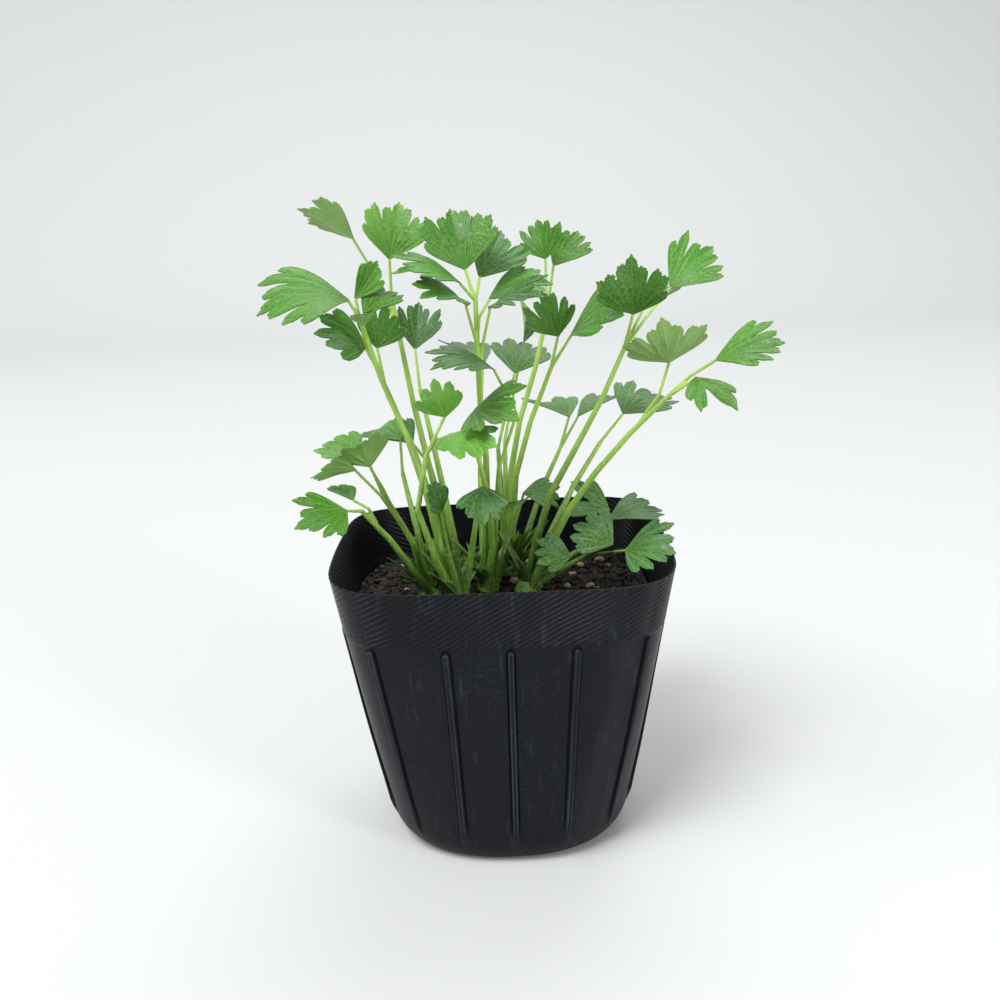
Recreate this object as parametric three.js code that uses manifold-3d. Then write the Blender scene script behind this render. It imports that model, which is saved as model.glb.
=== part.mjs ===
// Potted flat-leaf parsley seedling in a soft black nursery pot.
// Millimetres, +Z up. Origin at the middle of the pot's underside; -Y is the front.

import * as THREE from "three";
import { mergeVertices } from "three/addons/utils/BufferGeometryUtils.js";
import Module from "manifold-3d";

const wasm = await Module();
wasm.setup();
const { Manifold, Mesh } = wasm;

// Pot
const potHeight = 75;
const rimHalfWidth = 42;
const rimHalfDepth = 38;
const rimSquareness = 4.8;
const baseRadius = 31;
const baseSquareness = 2.3;
const wallThickness = 0.6;
const floorThickness = 0.8;
const cornerDrop = 5;
const cornerRise = 7;
const rimWave = 0.5;
const sectionSegments = 40;

// Pressed ribs down the pot's side, below the plain upper band
const ribCount = 16;
const ribWidth = 1.6;
const ribHeight = 0.4;
const bandHeight = 14.5;

// Drain holes in a ring, at a margin from the turn of the corner
const holeCount = 8;
const holeRadius = 2.6;
const holeSides = 10;
const holeMargin = 4.4;
const holeRingRadius = baseRadius - cornerDrop - holeMargin - holeRadius;

// Soil
const headspace = 15;
const partGap = 0.3;
const soilBump = 0.7;
const grainSink = 0.35;

// Stalks
const crownRadius = 3.2;
const crownHeight = 3;
const rightCrown = 6;
const stalkFootRadius = 1.1;
const stalkTopRadius = 0.58;
const branchRadius = 0.46;
const branchTipRadius = 0.36;
const stalkSides = 6;
const stalkStep = 14;

// Leaf blades
const bladeThickness = 0.4;
const bladeStart = 1.1;
const bladeGap = 0.35;

// The outline of the pot's wall at a height: a round base that turns into a rounded square.
function wallRadius(angle, z) {
  const share = z / potHeight;
  const halfWidth = baseRadius + (rimHalfWidth - baseRadius) * share;
  const halfDepth = baseRadius + (rimHalfDepth - baseRadius) * share;
  const squareness = baseSquareness + (rimSquareness - baseSquareness) * share;
  const across = Math.abs(Math.cos(angle) / halfWidth) ** squareness;
  const along = Math.abs(Math.sin(angle) / halfDepth) ** squareness;
  return (across + along) ** (-1 / squareness);
}

// How far the wall draws in where it turns into the base.
function cornerInset(z) {
  if (z >= cornerRise) return 0;
  const depth = 1 - z / cornerRise;
  return cornerDrop * (1 - Math.sqrt(1 - depth * depth));
}

// The heights at which the wall is drawn. The ribs and the soil follow the same ones.
const bandFoot = potHeight - bandHeight;
const ribHeights = [cornerRise, bandFoot];
const cornerHeights = [0.3 * cornerRise, 0.65 * cornerRise];
const soilTop = potHeight - headspace;
const wallRows = [...new Set([...ribHeights, soilTop])].sort((low, high) => low - high);

function rimLift(angle, z) {
  const fade = (z / potHeight) ** 8;
  return rimWave * fade * (Math.sin(2 * angle + 0.6) + 0.6 * Math.sin(3 * angle - 1.1) - 0.8);
}

// A closed solid of revolution whose circle is replaced by the pot's own section.
// Each profile point is [share of the section radius, inset from the wall, height].
function sectionSolid(profile, shape) {
  const template = profile.map((point, index) => new THREE.Vector2(point[0] === 0 ? 0 : 1, index));
  const geometry = new THREE.LatheGeometry(template, sectionSegments);
  const position = geometry.attributes.position;
  for (let index = 0; index < position.count; index += 1) {
    const [share, inset, z] = profile[index % profile.length];
    const turn = Math.floor(index / profile.length) % sectionSegments;
    const angle = (turn / sectionSegments) * 2 * Math.PI;
    const radius = share * (wallRadius(angle, z) - cornerInset(z) - inset);
    const x = radius * Math.cos(angle);
    const y = radius * Math.sin(angle);
    position.setXYZ(index, x, y, shape(x, y, z, angle, share));
  }
  return geometry;
}

// One closed, outward-facing solid from any closed geometry.
function solidFrom(geometry) {
  const bare = geometry.clone();
  for (const name of Object.keys(bare.attributes)) {
    if (name !== "position") bare.deleteAttribute(name);
  }
  const merged = mergeVertices(bare, 1e-4);
  const points = merged.attributes.position;
  const corners = [];
  const index = merged.index.array;
  for (let start = 0; start < index.length; start += 3) {
    const [a, b, c] = [index[start], index[start + 1], index[start + 2]];
    if (a !== b && b !== c && c !== a) corners.push(a, b, c);
  }
  let volume = 0;
  const [p, q, r] = [new THREE.Vector3(), new THREE.Vector3(), new THREE.Vector3()];
  for (let start = 0; start < corners.length; start += 3) {
    p.fromBufferAttribute(points, corners[start]);
    q.fromBufferAttribute(points, corners[start + 1]);
    r.fromBufferAttribute(points, corners[start + 2]);
    volume += p.dot(q.cross(r));
  }
  if (volume < 0) corners.reverse();
  const mesh = new Mesh({
    numProp: 3,
    vertProperties: new Float32Array(points.array),
    triVerts: new Uint32Array(corners),
  });
  return new Manifold(mesh);
}

function geometryFrom(solid) {
  const mesh = solid.getMesh();
  const geometry = new THREE.BufferGeometry();
  geometry.setAttribute("position", new THREE.BufferAttribute(mesh.vertProperties, 3));
  geometry.setIndex(new THREE.BufferAttribute(mesh.triVerts, 1));
  geometry.computeVertexNormals();
  return geometry;
}

const part = new THREE.Group();
part.name = "potted_parsley";

function addNode(name, solid, material) {
  const mesh = new THREE.Mesh(geometryFrom(solid), material);
  mesh.name = name;
  part.add(mesh);
}

function matte(color, roughness) {
  return new THREE.MeshStandardMaterial({ color, roughness, metalness: 0 });
}

// ---------------------------------------------------------------- pot

function potSolid() {
  const wallHeights = [...cornerHeights, ...wallRows, potHeight];
  const profile = [
    [0, 0, 0],
    [1, 0, 0],
    ...wallHeights.map((z) => [1, 0, z]),
    ...wallHeights.toReversed().map((z) => [1, wallThickness, z]),
    [1, wallThickness, floorThickness],
    [0, 0, floorThickness],
  ];
  const lift = (x, y, z, angle) => z + rimLift(angle, z);
  return solidFrom(sectionSolid(profile, lift));
}

// A thin strip that follows the wall down one direction, half sunk in it.
function ribSolid(angle) {
  const steps = ribHeights.length - 1;
  const geometry = new THREE.BoxGeometry(1, 1, 1, 1, 1, steps);
  const position = geometry.attributes.position;
  const side = new THREE.Vector2(-Math.sin(angle), Math.cos(angle));
  for (let index = 0; index < position.count; index += 1) {
    const z = ribHeights[Math.round((position.getZ(index) + 0.5) * steps)];
    const out = position.getX(index) > 0 ? ribHeight : -wallThickness / 2;
    const across = position.getY(index) * ribWidth;
    const radius = wallRadius(angle, z) + out;
    const x = radius * Math.cos(angle) + across * side.x;
    const y = radius * Math.sin(angle) + across * side.y;
    position.setXYZ(index, x, y, z);
  }
  return solidFrom(geometry);
}

function holeCutter(index) {
  const angle = ((index + 0.5) / holeCount) * 2 * Math.PI;
  const geometry = new THREE.CylinderGeometry(holeRadius, holeRadius, 4 * floorThickness, holeSides);
  geometry.rotateX(Math.PI / 2);
  geometry.translate(holeRingRadius * Math.cos(angle), holeRingRadius * Math.sin(angle), 0);
  return solidFrom(geometry);
}

let pot = potSolid();
for (let rib = 0; rib < ribCount; rib += 1) {
  pot = pot.add(ribSolid((rib / ribCount) * 2 * Math.PI + Math.PI / ribCount / 6));
}
for (let hole = 0; hole < holeCount; hole += 1) {
  pot = pot.subtract(holeCutter(hole));
}
addNode("pot", pot, matte(0x23262b, 0.42));

// ---------------------------------------------------------------- soil

function soilHeight(x, y) {
  const rolls = Math.sin(0.31 * x + 0.4) * Math.cos(0.27 * y - 0.7);
  const crumbs = 0.45 * Math.sin(0.83 * x - 1.3 * y) + 0.3 * Math.sin(1.9 * x + 0.9 * y + 2);
  return soilTop - soilBump + soilBump * 0.5 * (rolls + crumbs);
}

// Drawn from the top down, like the inside of the wall, so that their facets match.
function soilSolid() {
  const inset = wallThickness + partGap;
  const bottom = floorThickness + partGap;
  const sideHeights = ribHeights.filter((z) => z < soilTop);
  const bodyHeights = [bottom, ...cornerHeights, ...sideHeights, soilTop];
  const ringShares = [0.2, 0.4, 0.6, 0.8];
  const profile = [
    [0, inset, soilTop],
    ...ringShares.map((share) => [share, inset, soilTop]),
    ...bodyHeights.toReversed().map((z) => [1, inset, z]),
    [0, inset, bottom],
  ];
  const shape = (x, y, z) => (z === soilTop ? soilHeight(x, y) : z);
  return solidFrom(sectionSolid(profile, shape));
}

// Pale pumice grains pressed into the compost: [share of the half width, share of the
// half depth, radius].
const grains = [
  [-0.85, -0.05, 1.8],
  [-0.78, 0.2, 1.3],
  [0.4, 0.65, 1.7],
  [0.57, 0.76, 1.4],
  [0.71, 0.52, 1.9],
  [0.81, 0.12, 1.6],
  [0.5, -0.2, 1.4],
  [0.26, 0.79, 1.5],
  [-0.43, 0.73, 1.7],
  [-0.71, 0.57, 1.3],
  [0.64, -0.58, 1.8],
  [-0.52, -0.68, 1.5],
];

let soil = soilSolid();
for (const [widthShare, depthShare, radius] of grains) {
  const x = widthShare * rimHalfWidth;
  const y = depthShare * rimHalfDepth;
  const geometry = new THREE.IcosahedronGeometry(radius, 0);
  geometry.scale(1, 0.85, 0.8);
  geometry.rotateZ(x + y);
  geometry.translate(x, y, soilHeight(x, y) + grainSink * radius);
  soil = soil.add(solidFrom(geometry));
}
addNode("soil", soil, matte(0x2a1d15, 0.95));

// ---------------------------------------------------------------- blades

// Outlines as [share of the half spread, share of the length], from one side to the other.
const outlines = {
  broad: [
    [-1, 0.55], [-0.9, 0.8], [-0.8, 0.74], [-0.69, 0.95], [-0.58, 0.87], [-0.47, 0.97],
    [-0.37, 0.66], [-0.26, 0.94], [-0.13, 0.88], [0, 1.06], [0.13, 0.88], [0.26, 0.94],
    [0.37, 0.64], [0.47, 0.96], [0.58, 0.86], [0.69, 0.94], [0.8, 0.73], [0.9, 0.8], [1, 0.55],
  ],
  lobed: [
    [-1, 0.45], [-0.87, 0.8], [-0.72, 0.7], [-0.56, 0.97], [-0.41, 0.52],
    [-0.27, 0.9], [-0.13, 0.83], [0.01, 1.06], [0.15, 0.83], [0.28, 0.92],
    [0.41, 0.5], [0.57, 0.95], [0.72, 0.7], [0.86, 0.8], [1, 0.45],
  ],
  forked: [
    [-1, 0.4], [-0.82, 0.8], [-0.64, 0.74], [-0.43, 1.02], [-0.22, 0.8],
    [0.02, 0.42], [0.22, 0.8], [0.43, 1], [0.62, 0.75], [0.81, 0.8], [1, 0.4],
  ],
  small: [
    [-1, 0.5], [-0.8, 0.86], [-0.6, 0.75], [-0.39, 0.98], [-0.2, 0.74],
    [0, 1.05], [0.2, 0.74], [0.4, 0.97], [0.6, 0.75], [0.8, 0.85], [1, 0.5],
  ],
  narrow: [
    [-1, 0.45], [-0.74, 0.76], [-0.54, 0.72], [-0.31, 0.94], [-0.15, 0.88],
    [0.02, 1.05], [0.18, 0.88], [0.35, 0.93], [0.56, 0.72], [0.76, 0.75], [1, 0.45],
  ],
};

// Each blade: where it leaves its stalk and where its middle tooth ends (heights from the
// pot's rim), the way its upper side looks, half of its spread, fold along the middle, and
// droop over its length.
const blades = {
  L1: { base: [-34, 12, 76], tip: [-46, 10, 83], face: [0, 5, 9], spread: 48, fold: 14, droop: 30 },
  L2: { base: [-25, 6, 71], tip: [-22, 8, 84], face: [1, -9, 3], spread: 56, fold: 18, droop: 24 },
  A1: { base: [-33, -12, 63], tip: [-52, -20, 61], face: [-1, -6, 9], spread: 44, fold: 8, droop: 75,
    shape: "lobed", rings: 4 },
  A2: { base: [-32, -11, 63], tip: [-27, -5, 71], face: [6, -8, 2], spread: 36, fold: 24, droop: 20,
    shape: "narrow" },
  A3: { base: [-30, -13, 60], tip: [-23, -5, 64], face: [0, -6, 9], spread: 46, fold: 15, droop: 30, shape: "small" },
  A4: { base: [-30, -13, 57], tip: [-27, -22, 61], face: [0, -5, 9], spread: 38, fold: 20, droop: 30,
    shape: "narrow" },
  A5: { base: [-31, -4, 51], tip: [-41, -12, 56], face: [-2, -8, 7], spread: 50, fold: 10, droop: 45, shape: "small" },
  C: { base: [-29, 2, 50], tip: [-26, 1, 60], face: [2, -9, 5], spread: 54, fold: 18, droop: 25, shape: "small" },
  D: { base: [-21, 20, 47], tip: [-20, 27, 58], face: [2, -9, 3], spread: 52, fold: 26, droop: 20,
    shape: "lobed" },
  E1: { base: [-6, -13, 69], tip: [-9, -8, 82], face: [1, -9, 3], spread: 62, fold: 24, droop: 22 },
  E2: { base: [-3, -11, 67], tip: [2, 1, 76], face: [4, -8, 5], spread: 46, fold: 16, droop: 40 },
  E3: { base: [-7, -15, 66], tip: [-20, -26, 70], face: [0, -5, 9], spread: 36, fold: 12, droop: 40,
    shape: "lobed" },
  E4: { base: [-6, -16, 61], tip: [-15, -29, 65], face: [0, -6, 8], spread: 38, fold: 12, droop: 45, shape: "small" },
  E5: { base: [-1, -10, 62], tip: [13, -9, 65], face: [0, -4, 9], spread: 48, fold: 12, droop: 38, shape: "small" },
  E6: { base: [-1, -16, 60], tip: [10, -27, 64], face: [0, -5, 9], spread: 40, fold: 12, droop: 40,
    shape: "lobed" },
  F1: { base: [14, 21, 69], tip: [12, 21, 79], face: [0, -9, 2], spread: 58, fold: 16, droop: 28,
    shape: "lobed" },
  F2: { base: [16, 24, 67], tip: [23, 32, 75], face: [2, -8, 6], spread: 44, fold: 20, droop: 34,
    shape: "lobed" },
  G: { base: [8, 34, 46], tip: [8, 41, 57], face: [9, -3, 0], spread: 46, fold: 22, droop: 20,
    shape: "narrow" },
  H1: { base: [16, 5, 51], tip: [12, 3, 62], face: [-3, -8, 5], spread: 52, fold: 14, droop: 36,
    shape: "lobed" },
  H2: { base: [19, 5, 51], tip: [33, -8, 61], face: [0, -6, 8], spread: 42, fold: 10, droop: 34, shape: "small" },
  I: { base: [5, 19, 40], tip: [9, 31, 46], face: [0, -7, 8], spread: 56, fold: 10, droop: 34, shape: "small" },
  J: { base: [0, -15, 46], tip: [-14, -26, 49], face: [0, -4, 9], spread: 34, fold: 10, droop: 50,
    shape: "lobed", rings: 3 },
  K: { base: [-3, 15, 43], tip: [-11, 28, 47], face: [0, 3, 9], spread: 42, fold: 12, droop: 30, shape: "small" },
  M1: { base: [33, -7, 57], tip: [32, -12, 70], face: [-1, -9, 3], spread: 58, fold: 20, droop: 26 },
  M3: { base: [36, 0, 57], tip: [44, 14, 61], face: [2, 4, 9], spread: 42, fold: 12, droop: 30,
    shape: "narrow" },
  M4: { base: [43, 2, 62], tip: [54, 8, 71], face: [-2, -9, 4], spread: 46, fold: 14, droop: 30,
    shape: "lobed" },
  N1: { base: [41, -11, 46], tip: [38, -20, 56], face: [-1, 6, 7], spread: 66, fold: 8, droop: -36 },
  N2: { base: [49, -24, 48], tip: [63, -29, 52], face: [0, -6, 9], spread: 44, fold: 12, droop: 34,
    shape: "lobed" },
  N3: { base: [45, -22, 44], tip: [48, -34, 38], face: [1, -6, 9], spread: 40, fold: 10, droop: 34,
    shape: "forked" },
  P: { base: [20, 27, 26], tip: [12, 42, 28], face: [0, 1, 9], spread: 46, fold: 10, droop: 34, shape: "small" },
  P2: { base: [22, 27, 26], tip: [35, 35, 30], face: [0, 1, 9], spread: 42, fold: 12, droop: 30, shape: "small" },
  Q: { base: [33, 14, 29], tip: [45, 24, 32], face: [0, -3, 9], spread: 58, fold: 8, droop: 36,
    shape: "lobed" },
  R1: { base: [-33, -4, 24], tip: [-44, 2, 26], face: [0, -3, 9], spread: 50, fold: 10, droop: 32, shape: "small" },
  R2: { base: [-31, -10, 23], tip: [-32, -18, 31], face: [-1, -5, 6], spread: 58, fold: 12, droop: 34, shape: "small" },
  R3: { base: [-25, 9, 25], tip: [-33, 18, 26], face: [0, -4, 9], spread: 46, fold: 10, droop: 62,
    rings: 3, shape: "small" },
  R4: { base: [-34, -13, 23], tip: [-43, -19, 23], face: [-4, 5, 8], spread: 48, fold: 10, droop: 40, shape: "small" },
  S1: { base: [-36, -20, 15], tip: [-46, -28, 14], face: [-1, -6, 7], spread: 58, fold: 6, droop: 34,
    shape: "lobed" },
  S2: { base: [-35, -15, 16], tip: [-41, -9, 18], face: [-4, 5, 8], spread: 46, fold: 12, droop: 26,
    shape: "narrow" },
  T: { base: [-22, 10, 24], tip: [-29, 17, 27], face: [0, -5, 9], spread: 48, fold: 14, droop: 30, shape: "small" },
  U1: { base: [-12, -17, 36], tip: [-14, -20, 45], face: [-1, -7, 5], spread: 54, fold: 12, droop: 26, shape: "small" },
  U2: { base: [-11, -18, 32], tip: [-4, -29, 29], face: [1, -5, 9], spread: 54, fold: 8, droop: 40, shape: "small" },
  V: { base: [-5, -14, 37], tip: [4, -25, 37], face: [0, -7, 7], spread: 62, fold: 8, droop: 36,
    shape: "lobed" },
  W: { base: [-14, -17, 13], tip: [-17, -22, 21], face: [2, -7, 6], spread: 42, fold: 24, droop: 26,
    shape: "narrow" },
  X: { base: [-4, -17, 19], tip: [-4, -24, 12], face: [0, -8, 4], spread: 55, fold: 6, droop: 40,
    rings: 4, shape: "small" },
  Z: { base: [6, 12, 9], tip: [16, 13, 7], face: [0, -5, 8], spread: 48, fold: 8, droop: 40, rings: 3, shape: "small" },
  AA: { base: [3, -10, 10], tip: [4, -18, 15], face: [0, -6, 8], spread: 48, fold: 14, droop: 40, shape: "small" },
  BB1: { base: [29, 9, 4], tip: [17, 15, 7], face: [0, -6, 8], spread: 46, fold: 8, droop: 40,
    shape: "forked" },
  BB2: { low: true, base: [0.31, -9, -2], tip: [0.06, -11, 0], face: [0, -8, 6], spread: 50, fold: 12, droop: 34, shape: "small" },
  BB3: { low: true, base: [0.61, -7, 0], tip: [0.36, -2, 4], face: [0, -8, 7], spread: 58, fold: 8, droop: 34, shape: "small" },
  BB4: { low: true, base: [0.64, 14, 0], tip: [1.05, 20, 1], face: [0, -2, 9], spread: 40, fold: 8, droop: 30, shape: "small" },
  BB5: { low: true, base: [0.69, -9, -1], tip: [1, -17, 1], face: [0, -6, 8], spread: 58, fold: 6, droop: 50,
    shape: "lobed" },
};

const degree = Math.PI / 180;

// A point of the plant, from its place over the pot and its height above the rim. A low
// piece leans on the rim's right side, so its place across is a share of the room from the
// right crown to the rim.
function plantPoint([across, y, aboveRim], low) {
  const x = low ? rightCrown + across * (rimHalfWidth - rightCrown) : across;
  return new THREE.Vector3(x, y, potHeight + aboveRim);
}

// The blade's own frame: along its length, across it, and out of its upper side.
function bladeFrame(blade) {
  const base = plantPoint(blade.base, blade.low);
  const along = plantPoint(blade.tip, blade.low).sub(base);
  const chord = along.length();
  along.normalize();
  const face = new THREE.Vector3(...blade.face);
  face.addScaledVector(along, -face.dot(along)).normalize();
  const across = new THREE.Vector3().crossVectors(along, face);
  return { base, along, face, across, chord };
}

// A point of the blade's middle surface, from its flat place (x across, y along).
function bladePoint(frame, blade, x, y) {
  const turn = blade.droop * degree;
  const length = (frame.chord * (turn / 2)) / Math.sin(turn / 2);
  const radius = length / turn;
  const reach = y / radius;
  const fold = blade.fold * degree;
  const softness = 0.08 * length;
  const crease = Math.sqrt(x * x + softness * softness) - softness;
  const ruffle = 0.035 * length * Math.sin((5 * x) / length + 4 * (y / length) + blade.base[0]);
  const height = crease * Math.sin(fold) + ruffle * (y / length);
  const flatAlong = (radius + height) * Math.sin(reach);
  const flatUp = (radius + height) * Math.cos(reach) - radius;
  const back = turn / 2;
  const alongShare = flatAlong * Math.cos(back) - flatUp * Math.sin(back);
  const upShare = flatAlong * Math.sin(back) + flatUp * Math.cos(back);
  return frame.base
    .clone()
    .addScaledVector(frame.across, x * Math.cos(fold))
    .addScaledVector(frame.along, alongShare)
    .addScaledVector(frame.face, upShare);
}

function bladeSolid(blade) {
  const frame = bladeFrame(blade);
  const outline = outlines[blade.shape ?? "broad"];
  const rings = blade.rings ?? 2;
  const turn = blade.droop * degree;
  const length = (frame.chord * (turn / 2)) / Math.sin(turn / 2);
  const columns = outline.length;
  const sheet = new THREE.PlaneGeometry(1, 1, columns - 1, rings);
  const corner = new THREE.Vector3();
  const middles = [];
  const normals = [];
  for (let ring = 0; ring <= rings; ring += 1) {
    for (const [spreadShare, reachShare] of outline) {
      const wobble = 1 + 0.05 * Math.sin(9 * spreadShare + 2 * blade.base[0] + blade.base[1]);
      const outer = reachShare * wobble * length;
      const radius = bladeStart + (outer - bladeStart) * (ring / rings);
      const angle = spreadShare * blade.spread * degree;
      const x = radius * Math.sin(angle);
      const y = radius * Math.cos(angle);
      const middle = bladePoint(frame, blade, x, y);
      const sideways = bladePoint(frame, blade, x + 0.01, y).sub(middle);
      const onward = bladePoint(frame, blade, x, y + 0.01).sub(middle);
      middles.push(middle);
      normals.push(corner.crossVectors(sideways, onward).normalize().clone());
    }
  }
  const upper = middles.map((point, k) => point.clone().addScaledVector(normals[k], bladeThickness / 2));
  const lower = middles.map((point, k) => point.clone().addScaledVector(normals[k], -bladeThickness / 2));
  const points = [...upper, ...lower].flatMap((point) => point.toArray());
  const count = middles.length;
  const faces = [];
  for (let start = 0; start < sheet.index.count; start += 3) {
    const [a, b, c] = [0, 1, 2].map((k) => sheet.index.getX(start + k));
    faces.push(a, b, c, count + a, count + c, count + b);
  }
  const border = [];
  for (let column = 0; column < columns - 1; column += 1) border.push(column);
  for (let ring = 0; ring < rings; ring += 1) border.push(ring * columns + columns - 1);
  for (let column = columns - 1; column > 0; column -= 1) border.push(rings * columns + column);
  for (let ring = rings; ring > 0; ring -= 1) border.push(ring * columns);
  border.forEach((here, k) => {
    const next = border[(k + 1) % border.length];
    faces.push(here, next, count + here, next, count + next, count + here);
  });
  const geometry = new THREE.BufferGeometry();
  geometry.setAttribute("position", new THREE.Float32BufferAttribute(points, 3));
  geometry.setIndex(faces);
  return solidFrom(geometry);
}

// Where a stalk has to stop short of its blade.
function bladeJoint(name) {
  const frame = bladeFrame(blades[name]);
  const blade = blades[name];
  const start = bladePoint(frame, blade, 0, 0);
  const onward = bladePoint(frame, blade, 0, 0.1).sub(start).normalize();
  return start.addScaledVector(onward, bladeStart * Math.cos(blade.spread * degree) - bladeGap);
}

// ---------------------------------------------------------------- stalks

// A closed round bar bent along a curve, from one radius to the other.
function bentBar(curve, startRadius, endRadius) {
  const steps = Math.max(2, Math.round(curve.getLength() / stalkStep));
  const frames = curve.computeFrenetFrames(steps, false);
  const geometry = new THREE.CylinderGeometry(1, 1, 1, stalkSides, steps);
  const position = geometry.attributes.position;
  const spot = new THREE.Vector3();
  for (let index = 0; index < position.count; index += 1) {
    const share = position.getY(index) + 0.5;
    const step = Math.round(share * steps);
    const radius = startRadius + (endRadius - startRadius) * share;
    spot.copy(curve.getPointAt(step / steps));
    spot.addScaledVector(frames.normals[step], position.getX(index) * radius);
    spot.addScaledVector(frames.binormals[step], position.getZ(index) * radius);
    position.setXYZ(index, spot.x, spot.y, spot.z);
  }
  return solidFrom(geometry);
}

function smoothCurve(points) {
  return new THREE.CatmullRomCurve3(points, false, "centripetal");
}

const crownFloor = soilTop + partGap;

function crownSolid(x, y) {
  const geometry = new THREE.CylinderGeometry(crownRadius * 0.62, crownRadius, crownHeight, 12);
  geometry.rotateX(Math.PI / 2);
  geometry.translate(x, y, crownFloor + crownHeight / 2);
  return solidFrom(geometry);
}

// Each plant: its crown on the soil, then its stalks. A stalk is its foot and the points
// that it passes (heights from the rim), and the blades that leave it, each with the point where its own side
// stalk starts and any points on the way.
const plants = {
  stalks_left: {
    crown: [-19, 2],
    stalks: [
      { foot: [-20, 2], path: [[-22, -5, 1], [-25, -8, 8], [-29, -9, 17]],
        leaves: [["R2", 2], ["R1", 1, [-30, -6, 19]], ["R4", 1, [-30, -12, 18]]] },
      { foot: [-19, 4], path: [[-22, 3, 4], [-25, 7, 17]], leaves: [["R3", 1]] },
      { foot: [-19, 0], path: [[-26, -10, 2], [-30, -14, 10], [-33, -17, 14]],
        leaves: [["S1", 2], ["S2", 1, [-32, -16, 15]]] },
    ],
  },
  stalks_back_left: {
    crown: [-12, 11],
    stalks: [
      { foot: [-13, 11], path: [[-17, 5, 15], [-20, 3, 31], [-23, 5, 49], [-25, 6, 62]],
        leaves: [["L2", 3], ["L1", 2, [-26, 8, 61], [-30, 10, 70]]] },
      { foot: [-14, 10], path: [[-20, 1, 21], [-27, 0, 39]], leaves: [["C", 1]] },
      { foot: [-11, 12], path: [[-16, 13, 17], [-20, 17, 37]], leaves: [["D", 1]] },
      { foot: [-12, 13], path: [[-15, 12, 5], [-18, 10, 18]], leaves: [["T", 1]] },
    ],
  },
  stalks_front: {
    crown: [-12, -5],
    stalks: [
      { foot: [-13, -5], path: [[-18, -11, 17], [-24, -10, 37], [-29, -9, 49], [-31, -12, 59]],
        leaves: [["A1", 3], ["A2", 3], ["A3", 2, [-31, -12, 58]], ["A5", 1, [-28, -7, 46]],
          ["A4", 2, [-30, -11, 54]]] },
      { foot: [-12, -7], path: [[-18, -13, 5], [-20, -16, 17], [-17, -17, 27]],
        leaves: [["U1", 2], ["U2", 2, [-13, -17, 32]]] },
      { foot: [-11, -6], path: [[-13, -12, 1]], leaves: [["W", 0]] },
      { foot: [-10, -5], path: [[-6, -13, 9], [-5, -15, 15]], leaves: [["X", 1]] },
    ],
  },
  stalks_centre: {
    crown: [-4, 4],
    stalks: [
      { foot: [-5, 3], path: [[-3, -6, 21], [-4, -10, 39], [-4, -12, 53], [-4, -13, 62]],
        leaves: [["E1", 3], ["E2", 3], ["E3", 3], ["E5", 2, [-3, -11, 59]],
          ["E4", 1, [-4, -12, 53]], ["E6", 1, [-3, -12, 51]]] },
      { foot: [-3, 2], path: [[0, -8, 21]], leaves: [["J", 0, [5, -10, 38]]] },
      { foot: [-4, 2], path: [[-2, -6, 7], [-5, -10, 25]], leaves: [["V", 1]] },
      { foot: [-2, 3], path: [[0, -3, -3]], leaves: [["AA", 0]] },
      { foot: [-5, 5], path: [[-5, 9, 17]], leaves: [["K", 0]] },
    ],
  },
  stalks_back_right: {
    crown: [2, 15],
    stalks: [
      { foot: [2, 15], path: [[4, 13, 21], [10, 16, 40], [14, 20, 55]],
        leaves: [["F1", 2], ["F2", 2]] },
      { foot: [3, 14], path: [[4, 8, 13], [9, 6, 31], [14, 6, 43]], leaves: [["H1", 2], ["H2", 2]] },
      { foot: [1, 14], path: [[0, 15, 21]], leaves: [["I", 0]] },
      { foot: [1, 17], path: [[2, 26, 21]], leaves: [["G", 0]] },
      { foot: [3, 16], path: [[3, 14, -3]], leaves: [["Z", 0]] },
      { foot: [4, 16], path: [[11, 24, 5], [17, 27, 17]], leaves: [["P", 1], ["P2", 1]] },
    ],
  },
  stalks_right: {
    crown: [rightCrown, 2],
    stalks: [
      { foot: [6, 3], path: [[13, -2, 13], [23, -4, 31], [31, -6, 49]],
        leaves: [["M1", 2], ["M3", 2], ["M4", 2, [37, -2, 56]]] },
      { foot: [7, 1], path: [[19, -8, 13], [33, -15, 32], [39, -19, 39]],
        leaves: [["N2", 2, [46, -22, 46]], ["N1", 1, [39, -15, 41]], ["N3", 2]] },
      { foot: [7, 4], path: [[17, 9, 7], [27, 13, 22]], leaves: [["Q", 1]] },
      { foot: [8, 2], low: true, path: [[0.22, 2, -10], [0.44, 3, -6]],
        leaves: [["BB5", 1], ["BB3", 1], ["BB2", 0]] },
      { foot: [8, 4], low: true, path: [[0.28, 8, -9], [0.5, 11, -5]],
        leaves: [["BB4", 1], ["BB1", 1]] },
    ],
  },
};

const stalkMaterial = matte(0x8cbf3f, 0.55);

for (const [name, plant] of Object.entries(plants)) {
  let body = crownSolid(...plant.crown);
  for (const stalk of plant.stalks) {
    const foot = new THREE.Vector3(...stalk.foot, crownFloor + crownHeight / 3);
    const path = [foot, ...stalk.path.map((point) => plantPoint(point, stalk.low))];
    body = body.add(bentBar(smoothCurve(path), stalkFootRadius, stalkTopRadius));
    for (const [blade, from, ...via] of stalk.leaves) {
      const start = path[from + 1];
      const way = [start, ...via.map((point) => plantPoint(point)), bladeJoint(blade)];
      body = body.add(bentBar(smoothCurve(way), branchRadius, branchTipRadius));
    }
  }
  addNode(name, body, stalkMaterial.clone());
}

for (const [name, blade] of Object.entries(blades)) {
  addNode(`blade_${name}`, bladeSolid(blade), matte(0x4f8f3a, 0.5));
}

export default part;
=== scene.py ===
"""Potted flat-leaf parsley: the visible model, laid out as an add-on."""

import math
import random

import bmesh
import bpy
from mathutils import Euler, Matrix, Vector, noise


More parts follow.
